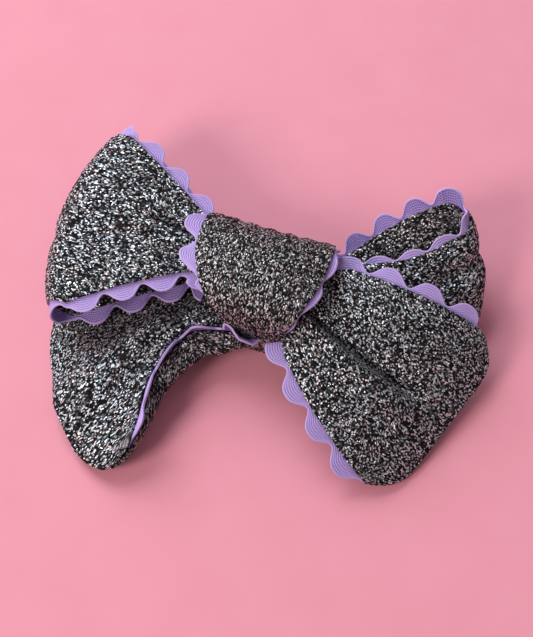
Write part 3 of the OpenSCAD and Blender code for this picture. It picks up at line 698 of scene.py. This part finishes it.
def cloth_chart(points, u, s, length):
    table = np.lexsort((s, u.round(5))).reshape(-1, np.unique(s.round(5)).size)
    over = np.cumsum(np.linalg.norm(np.diff(points[table], axis=1), axis=2), axis=1)
    across = np.pad(over, ((0, 0), (1, 0)))
    chart = np.stack([u * length, 0 * u], -1)
    chart[table, 1] = across - across[:, [across.shape[1] // 2]]
    return chart


def sew(name, node, material, cloth, points, chart, thickness, edge):
    for vert, point in zip(cloth.verts, points * MM):
        vert.co = point
    uv = cloth.loops.layers.uv.new("cloth")
    for face in cloth.faces:
        face.smooth = True
        for corner in face.loops:
            corner[uv].uv = chart[corner.vert.index]
    data = bpy.data.meshes.new(name)
    cloth.to_mesh(data)
    cloth.free()
    piece = bpy.data.objects.new(name, data)
    bpy.context.scene.collection.objects.link(piece)
    data.materials.append(material)
    wall = piece.modifiers.new("thickness", "SOLIDIFY")
    wall.thickness, wall.offset = thickness * MM, 0
    soft = piece.modifiers.new("soft_edge", "BEVEL")
    soft.width, soft.segments = edge * MM, 2
    soft.limit_method, soft.angle_limit = "ANGLE", soft_edge_angle
    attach(piece, "bow")
    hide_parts(node)
    return piece


def cloth_area(piece):
    return sum(face.area for face in piece.data.polygons) / MM ** 2


print("a piece of cloth is", knit_t, "mm thick, a braid", braid_t, "mm")

# %% [markdown]
# In knit no stitch sits exactly like its neighbour, so each one rises a little and strays a little
# along the strip, by a throw of the dice that is the same on every run.

# %% Panel of a strip
stitch_size = np.array([0.9, 0.8])
stitch_height, stitch_stray = 0.45, 0.4
stray_seed = 100


def knit_panel(name, node, strip, off, step, material, seed, out=None):
    length = strip_length(strip)
    cloth, u, s = flat_grid(round(length / step), round(strip.width / step))
    d = depth(strip, u)
    flat = np.stack([u * length, s * half_width(strip, d)], -1)
    stitches = flat / stitch_size
    rise = stitch_rise(stitches, stitch_height, seed)
    uneven = u + stitch_rise(stitches, stitch_stray, seed + stray_seed) / length
    bulge = out(u, s) if out else 0
    chart = cloth_chart(layer_point(strip, u, s, off(u, s)) + bulge, u, s, length)
    points = layer_point(strip, uneven, s, off(u, s) + rise) + bulge
    piece = sew(name, node, material, cloth, points, chart, knit_t, knit_edge)
    print(name, len(piece.data.polygons), "faces,", round(cloth_area(piece)), "mm2")
    return piece


print("a stitch is", stitch_size[0], "by", stitch_size[1], "mm")

# %% [markdown]
# The left loop is the big one. Its outer layer is fuller than the lining, which lies flat inside it.

# %% Left loop
loop_full = 0.7
turned_in, turn_over = 0.2, 1.4
fine, plain = 0.5, 0.8


def edge_turn(strip, u, s):
    beside = (1 - np.abs(s)) * half_width(strip, depth(strip, u))
    return turned_in * (1 - ease(beside / turn_over))


def loop_outer(strip):
    def off(u, s):
        full = loop_full * fan(strip, depth(strip, u)) * (1 - s ** 4)
        return seam_half + knit_t / 2 + full - edge_turn(strip, u, s)
    return off


def loop_lining(strip):
    return lambda u, s: -seam_half - knit_t / 2 + edge_turn(strip, u, s)


left_loop_cloth = knit_panel(
    "left_loop_cloth", "left_loop_outer", left_loop, loop_outer(left_loop), fine, knit_face, 11)
left_loop_inside = knit_panel(
    "left_loop_inside", "left_loop_lining", left_loop, loop_lining(left_loop), plain, knit_back_painted_shade, 12)

# %% [markdown]
# The right loop stands on edge behind the right tail, so one looks into it from the top.

# %% Right loop
right_loop_cloth = knit_panel(
    "right_loop_cloth", "right_loop_outer", right_loop, loop_outer(right_loop), fine, knit_face, 21)
right_loop_inside = knit_panel(
    "right_loop_inside", "right_loop_lining", right_loop, loop_lining(right_loop), fine,
    knit_back_painted_shade, 22)

# %% [markdown]
# The tails lie flat and close at their ends. Each has two layers, which puff apart a little between the
# seams. At the seams both layers turn in towards the braid.

# %% Tail layers
end_gap, end_from = 0.2, 0.94
full_over, edge_until = 20, 0.9
bulge_at, bulge_len, bulge_fade = 6, 16, 2.2


def tail_half(u):
    return seam_half + (end_gap / 2 - seam_half) * ease((u - end_from) / (1 - end_from))


def tail_layer(strip, side, puff, lean=0):
    def off(u, s):
        full = ease(depth(strip, u) / full_over) * (1 - u ** 6) * (1 - s ** 4) * ((1 - s) / 2) ** lean
        turn = edge_turn(strip, u, s) * (u < edge_until)
        return side * (tail_half(u) + knit_t / 2 + puff * full - turn)
    return off


def bulge_past_seam(strip, reach):
    def out(u, s):
        d = depth(strip, u)
        h = heading(strip, d)
        along = ease((d - bulge_at) / bulge_len) * (1 - u ** bulge_fade)
        amount = along * np.sin(np.pi * np.sqrt(np.maximum(0, 1 + np.minimum(s, 0))))
        way = np.stack([strip.hand * np.sin(h), -np.cos(h), 0 * h], -1)
        return reach * np.where(s > 0, 0, amount)[:, None] * way
    return out


print("tails close to", end_gap, "mm at their ends")

# %% [markdown]
# The left tail curls its lower seam up over itself, and its back layer bulges out below that seam, so
# both of its layers are seen from the front.

# %% Left tail
left_puff, left_lean, left_bulge = 3, 2, 8
left_tail_cloth = knit_panel(
    "left_tail_cloth", "left_tail_front", left_tail, tail_layer(left_tail, 1, left_puff, left_lean),
    fine, knit_face, 31)
left_tail_underside = knit_panel(
    "left_tail_underside", "left_tail_back", left_tail, tail_layer(left_tail, -1, left_puff, left_lean),
    fine, knit_back_painted_shade, 32, bulge_past_seam(left_tail, left_bulge))

# %% [markdown]
# The right tail lies on top, over the right loop, and the pull of the knot presses two long folds into
# it. They are already in its strip, so here it only gets its two layers.

# %% Right tail
right_puff_front, right_puff_back = 1, 0.4
right_tail_cloth = knit_panel(
    "right_tail_cloth", "right_tail_front", right_tail, tail_layer(right_tail, 1, right_puff_front),
    fine, knit_face, 41)
right_tail_underside = knit_panel(
    "right_tail_underside", "right_tail_back", right_tail, tail_layer(right_tail, -1, right_puff_back),
    plain, knit_back_painted_shade, 42)

# %% [markdown]
# The knot is a soft wrap round the lashed waist: wide and puffed in front, pinched narrow at the
# back, where stitches close it over the clip.

# %% Course of the wrap
knot_w, pinch_w, knot_h = 37.5, 8, 30.5
knot_x, pinch_x, knot_y = -3.5, 1, 0.4
wrap_low, wrap_high = 3.75, 29.5
wrap_mid = (wrap_low + wrap_high) / 2
wrap_wide_at, wrap_pinch_at, wrap_join = 40, 200, 300
wrap_crown = 1.7
square_front, square_back = 3, 4.5
bell_front, bell_back = 2, 0.7
join_half = 0.8
top_at, top_breadth, top_sag, top_pucker, puckers = 38, 24, 1.6, 0.35, 3.2


def wrap_bell(a):
    p = (a - wrap_wide_at + 720) % 360
    front = wrap_pinch_at - wrap_wide_at
    past = np.abs(360 - p) / (360 - front)
    return 1 - np.where(p < front, ease((p / front) ** bell_front), ease(past ** bell_back))


def wrap_half(a):
    return (pinch_w + (knot_w - pinch_w) * wrap_bell(a)) / 2


def wrap_point(a, s):
    t = np.radians(a)
    n = np.where(np.sin(t) > 0, square_front, square_back)
    y, z = np.abs(np.cos(t)) / (knot_h / 2), np.abs(np.sin(t)) / (wrap_mid - wrap_low)
    bell = wrap_bell(a)
    r = (y ** n + z ** n) ** (-1 / n) - wrap_crown * bell * np.maximum(0, np.sin(t)) * s * s
    centre = pinch_x + (knot_x - pinch_x) * bell
    return np.stack([centre + s * wrap_half(a), knot_y + r * np.cos(t), wrap_mid + r * np.sin(t)], -1)


def wrap_normal(a, s):
    across = wrap_point(a, s + nudge_across) - wrap_point(a, s - nudge_across)
    return unit(np.cross(wrap_point(a + 1, s) - wrap_point(a - 1, s), across))


def wrap_rise(a, s):
    near_top = np.exp(-(((a - top_at + 180) % 360 - 180) / top_breadth) ** 2)
    pucker = top_pucker * np.cos(2 * np.pi * puckers * s + 1) * (1 - s ** 4)
    return near_top * (pucker - top_sag * (1 - s * s))


def wrap_layer(a, s, off):
    return wrap_point(a, s) + wrap_normal(a, s) * (off + wrap_rise(a, s))[..., None]


print("knot is", knot_w, "mm wide in front and", pinch_w, "mm where it is pinched")

# %% [markdown]
# The wrap starts and ends at the join at the back. Its stitches are drawn on a map that counts the
# millimetres round the waist, so they keep their size where the wrap turns sharply.

# %% Wrap
def wrap_angle(u):
    return wrap_join + join_half + (360 - 2 * join_half) * u


wrap_shares = np.linspace(0, 1, 721)
wrap_run = run_along(wrap_point(wrap_angle(wrap_shares), 0 * wrap_shares))


def wrap_panel(name, node, off, step, material, seed):
    cloth, u, s = flat_grid(round(wrap_run[-1] / step), round(knot_w / step))
    a = wrap_angle(u)
    chart = np.stack([np.interp(u, wrap_shares, wrap_run), s * wrap_half(a)], -1)
    rise = stitch_rise(chart / stitch_size, stitch_height, seed)
    edge = turned_in * (1 - ease((1 - np.abs(s)) * wrap_half(a) / turn_over))
    points = wrap_layer(a, s, off - np.sign(off) * edge + rise)
    piece = sew(name, node, material, cloth, points, chart, knit_t, knit_edge)
    print(name, len(piece.data.polygons), "faces,", round(cloth_area(piece)), "mm2")
    return piece


layer_off = seam_half + knit_t / 2
knot_cloth = wrap_panel("knot_cloth", "knot_wrap_face", layer_off, fine, knit_wrap_painted_warm_shade, 51)
knot_inside = wrap_panel("knot_inside", "knot_wrap_lining", -layer_off, plain, knit_back_painted_shade, 52)

# %% [markdown]
# The braid is caught in the seam by its inner edge and shows its waves outside. It is a grid too: its
# inner edge follows the seam, its outer edge swings with the wave, and ribs run along the outer edge.
# Round a fold the waves may shift along, on its way out the braid may show less, a loose end may stand
# out as a stub, and at the end the braid may run out into the seam.

# %% Braid
braid_wave, braid_sway, braid_show, braid_seam = 12, 1.8, 2.8, 1.2
rib_height, braid_rows, braid_step = 0.16, 36, 0.35
lobe_round = 0.35
slip_from, slip_over, slim_to, slim_ease = 0.35, 0.3, 0.4, 0.15
stub_length, stub_fade = 6, 2


def braid_piece(name, node, rail, out, inner, facing, phase,
                wave=braid_wave, slip=0, sway=braid_sway, close=0, slim=0, stub=0):
    steps = len(rail)
    run = run_along(rail)
    share = np.linspace(0, 1, steps)
    swell = np.sin(2 * np.pi * (run + phase + slip * ease((share - slip_from) / slip_over)) / wave)
    reach = braid_show + sway * (swell + lobe_round * (1 - swell ** 2))
    reach = reach * (1 - slim * (1 - ease((share - slim_to) / slim_ease)))
    reach = reach + stub * (1 - ease((run - stub_length) / stub_fade))
    if close:
        reach = reach * (1 - ease((share - 1 + close) / close))
    tip = rail + out * reach[:, None]
    cloth, u, t = flat_grid(steps - 1, braid_rows)
    at = np.rint(u * (steps - 1)).astype(int)
    outward = (t + 1) / 2
    points = inner[at] * (1 - outward)[:, None] + tip[at] * outward[:, None]
    from_edge = (1 - outward) * np.linalg.norm(tip - inner, axis=1)[at]
    rib = rib_height * (0.5 - 0.5 * np.cos(2 * np.pi * from_edge / rib_pitch))
    points = points + facing[at] * (rib - rib_height / 2)[:, None]
    chart = np.stack([run[at], from_edge], -1)
    piece = sew(name, node, lavender, cloth, points, chart, braid_t - rib_height, braid_edge)
    print(name, len(piece.data.polygons), "faces,", round(run[-1]), "mm long")
    return piece


def strip_braid(name, node, strip, edge, start, phase=0, stop=0.9, **wavy):
    length = strip_length(strip)
    first = start / length
    last = 1 - first if strip.fold else stop
    u = np.linspace(first, last, round((last - first) * length / braid_step))
    s = np.full_like(u, edge)
    rail, facing = layer_point(strip, u, s, 0 * u), strip_normal(strip, u, s)
    out = strip.hand * edge * unit(np.cross(facing, way_ahead(strip, u, s)))
    inner = layer_point(strip, u, edge * (1 - braid_seam / half_width(strip, depth(strip, u))), 0 * u)
    return braid_piece(name, node, rail, out, inner, facing, phase, **wavy)


print("braid repeats every", braid_wave, "mm and shows", braid_show, "mm on average")

# %% [markdown]
# On the loops the braid is eased in, so its waves lie closer there. The left tail's lower braid starts
# below the knot with a wide loose end.

# %% Braids of the strips
left_wave, right_wave = 0.94 * braid_wave, 0.82 * braid_wave
left_loop_braids = [
    strip_braid("left_loop_braid_top", "left_loop_upper_braid", left_loop, 1, knot_edge + 2, 10.5,
                wave=left_wave),
    strip_braid("left_loop_braid_bottom", "left_loop_lower_braid", left_loop, -1, knot_edge - 5, 0.9,
                wave=left_wave, slip=-8),
]
right_loop_braids = [
    strip_braid("right_loop_braid_top", "right_loop_upper_braid", right_loop, 1, 19, 8.7,
                wave=right_wave, slim=0.5),
    strip_braid("right_loop_braid_bottom", "right_loop_lower_braid", right_loop, -1, 14, 0.6,
                wave=right_wave, slim=0.4),
]
left_tail_braids = [
    strip_braid("left_tail_braid_top", "left_tail_upper_braid", left_tail, 1, 14),
    strip_braid("left_tail_braid_bottom", "left_tail_lower_braid", left_tail, -1, 10,
                stop=0.97, close=0.15, stub=3),
]
right_tail_braids = [
    strip_braid("right_tail_braid_top", "right_tail_upper_braid", right_tail, 1, 12, 10.4,
                stop=0.94, close=0.06),
    strip_braid("right_tail_braid_bottom", "right_tail_lower_braid", right_tail, -1, 14.4, 1.7,
                stop=0.985, close=0.14),
]

# %% [markdown]
# The knot's braids show only in front, and the left one ends early, where it slips under the wrap.

# %% Braids of the knot
knot_braid_steps, hidden_over = 320, 12
front_from, front_over = -0.05, 0.5


def knot_braid(name, node, edge, show, phase, sway, hidden_from):
    a = wrap_angle(np.linspace(0, 1, knot_braid_steps))
    s = np.full_like(a, edge)
    rail, facing = wrap_layer(a, s, 0 * a), wrap_normal(a, s)
    inner = wrap_layer(a, edge * (1 - braid_seam / wrap_half(a)), 0 * a)
    in_front = ease((np.sin(np.radians(a)) - front_from) / front_over)
    part = show * wrap_bell(a) * in_front * (1 - ease((a % 360 - hidden_from) / hidden_over))
    out = unit(rail - inner) * part[:, None]
    return braid_piece(name, node, rail, out, inner, facing, phase, sway=sway)


knot_braids = [
    knot_braid("knot_braid_left", "knot_left_braid", -1, 1.1, 4.6, 2.2, 134),
    knot_braid("knot_braid_right", "knot_right_braid", 1, 0.5, 4.3, braid_sway, 180),
]

# %% [markdown]
# Each strip was cut narrower towards the waist, where the thread gathers it, and the wrap was cut
# narrower towards its ends and pulled round the waist. The length of a cut is measured along the
# middle of its course, and its area is that length times its mean width.

# %% Cut of the cloth
cut_shares = np.linspace(0, 1, 401)


def cut_length(strip):
    return run_along(strip_middle(strip, cut_shares, 0 * cut_shares))[-1]


def mean_width(strip):
    d = depth(strip, cut_shares)
    return np.mean(half_cloth(strip, d, 1) + half_cloth(strip, d, -1))


def cut_cloth(piece, length, mean):
    print(piece.name, "cut", round(length * mean), "mm2, modelled", round(cloth_area(piece)), "mm2")


for strip, cloth, lining, braids in (
        (left_loop, left_loop_cloth, left_loop_inside, left_loop_braids),
        (right_loop, right_loop_cloth, right_loop_inside, right_loop_braids),
        (left_tail, left_tail_cloth, left_tail_underside, left_tail_braids),
        (right_tail, right_tail_cloth, right_tail_underside, right_tail_braids)):
    cut_cloth(cloth, cut_length(strip), mean_width(strip))
    cut_cloth(lining, cut_length(strip), mean_width(strip))
wrap_widths = 2 * wrap_half(wrap_angle(wrap_shares))
wrap_mean = np.mean(np.interp(cut_shares * wrap_run[-1], wrap_run, wrap_widths))
cut_cloth(knot_cloth, wrap_run[-1], wrap_mean)
cut_cloth(knot_inside, wrap_run[-1], wrap_mean)

# %% [markdown]
# The waist is lashed with two-ply thread. Each ply is a thin round wire that winds about the course
# of the lashing, so the twist is real and shows from the back.

# %% Lashing
thread_d, thread_turns, turn_steps = 0.8, 6, 200
lash_y, lash_z, lash_pitch = 11.9, 7.35, 1.35
lash_middle = (0.6, level_mid)
lash_square, lash_twist = 16, 2.4
off_axis = [0.9, 0.1, 0.42]


def wind(name, node, paths, ply_d, twist):
    curve = bpy.data.curves.new(name, "CURVE")
    curve.dimensions = "3D"
    curve.bevel_depth = ply_d / 2 * MM
    curve.bevel_resolution = 1
    curve.use_fill_caps = True
    for path in paths:
        steps = run_along(path)
        ahead = unit(np.gradient(path, axis=0))
        aside = unit(np.cross(ahead, off_axis))
        other = np.cross(ahead, aside)
        for ply in (0, math.pi):
            turn = 2 * math.pi * steps / twist + ply
            line = path + (aside * np.cos(turn)[:, None] + other * np.sin(turn)[:, None]) * ply_d / 2
            spline = curve.splines.new("POLY")
            spline.points.add(len(line) - 1)
            for point, place in zip(spline.points, line * MM):
                point.co = (*place, 1)
    piece = bpy.data.objects.new(name, curve)
    bpy.context.scene.collection.objects.link(piece)
    curve.materials.append(black_thread)
    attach(piece, "bow")
    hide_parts(node)
    print(name, len(curve.splines), "plies")


turns = np.linspace(0, thread_turns, thread_turns * turn_steps)
angle = 2 * np.pi * turns
flat_part = np.abs(np.cos(angle) / lash_y) ** lash_square
tall_part = np.abs(np.sin(angle) / lash_z) ** lash_square
box_round = (flat_part + tall_part) ** (-1 / lash_square) + thread_d / 2
lashing = np.stack([
    lash_pitch * (turns - thread_turns / 2),
    lash_middle[0] + box_round * np.cos(angle),
    lash_middle[1] + box_round * np.sin(angle),
], -1)
wind("waist_lashing", "gathering_thread", [lashing], thread_d / 2, lash_twist)

# %% [markdown]
# Short stitches close the wrap at the back, across the join of its two ends. They are wound like the
# lashing, from thinner thread.

# %% Stitches that close the wrap
stitch_count, stitch_len, stitch_d, stitch_in = 6, 3, 0.6, 2
stitch_clear, stitch_sink, stitch_twist, stitch_steps = 0.1, 0.5, 1.6, 24
join = np.array([wrap_join])
join_y = wrap_point(join, np.array([0.0]))[0][1]
join_z = wrap_low - knit_t - seam_half - stitch_clear - stitch_d / 2
join_centre = float((pinch_x + (knot_x - pinch_x) * wrap_bell(join))[0])
join_half_w = float(wrap_half(join)[0])
stitch_reach = join_half_w - stitch_in
stitch_x = np.linspace(join_centre - stitch_reach, join_centre + stitch_reach, stitch_count)
reach = np.linspace(-1, 1, stitch_steps)
stitch_y, stitch_z = join_y + reach * stitch_len / 2, join_z + stitch_sink * reach ** 6
paths = [np.stack([0 * reach + x, stitch_y, stitch_z], -1) for x in stitch_x]
wind("closing_stitches", "knot_stitches", paths, stitch_d / 2, stitch_twist)

# %% [markdown]
# The clip keeps its imported solids, which already have the right shape. They only need steel. The legs
# of the spring press on one jaw each; a copy of its wire is made and stands in its place.

# %% Clip
for node in ("clip_prong", "clip_base", "clip_pin", "clip_spring"):
    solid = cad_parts[node]
    solid.data.materials.clear()
    solid.data.materials.append(plated_steel)
spring_wire = bpy.data.objects.new("spring_wire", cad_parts["clip_spring"].data.copy())
bpy.context.scene.collection.objects.link(spring_wire)
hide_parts("clip_spring")
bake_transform(spring_wire)
